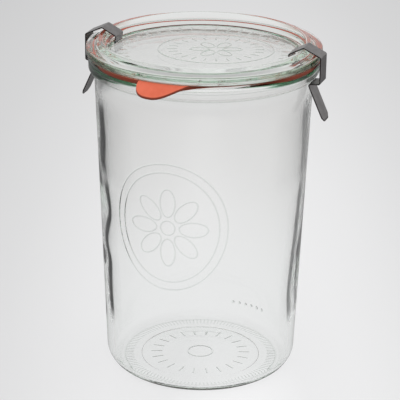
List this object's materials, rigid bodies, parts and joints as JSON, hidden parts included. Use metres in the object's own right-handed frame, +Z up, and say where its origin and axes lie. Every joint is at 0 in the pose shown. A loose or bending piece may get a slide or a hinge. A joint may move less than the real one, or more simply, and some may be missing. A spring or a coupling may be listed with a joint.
{
  "type": "canning jar",
  "caption": "Straight glass canning jar with a recessed glass lid, a flat rubber sealing ring with a pull tab and spring steel clamps.",
  "frame": {"origin": "centre of the jar's foot, on the surface that it stands on; the pull tab and the clamps reach a little past the round body, which moves the overall box by about a millimetre", "axes": "+Z up along the jar's axis; -Y is the front, towards the side with the ring's pull tab; +X to the right, where one of the two clamps sits"},
  "size_m": [0.1138, 0.1099, 0.1615],
  "materials": {
    "jar_glass": "clear pressed glass with a faint green tint",
    "lid_glass": "clear pressed glass with a faint green tint",
    "rubber": "orange natural rubber, satin",
    "spring_steel": "brushed stainless spring steel"
  },
  "bodies": {
    "jar": {"jar": "jar_glass"},
    "sealing_ring": {"sealing_ring": "rubber"},
    "lid": {"lid": "lid_glass"},
    "clamp_left": {"clamp_left": "spring_steel"},
    "clamp_right": {"clamp_right": "spring_steel"}
  },
  "joints": [
    {"name": "ring_lift", "type": "slide", "parent": "jar", "child": "sealing_ring", "axis": [0, 0, 1], "range_m": [0, 0.12]},
    {"name": "lid_lift", "type": "slide", "parent": "sealing_ring", "child": "lid", "axis": [0, 0, 1], "range_m": [0, 0.12]},
    {"name": "clamp_left_swing", "type": "hinge", "parent": "lid", "child": "clamp_left", "pos_m": [-0.03999, 0.01261, 0.1543], "axis": [0.3007, 0.9537, 0], "range_deg": [0, 75]},
    {"name": "clamp_right_swing", "type": "hinge", "parent": "lid", "child": "clamp_right", "pos_m": [0.03965, -0.01365, 0.1543], "axis": [-0.3256, -0.9455, 0], "range_deg": [0, 75]}
  ]
}
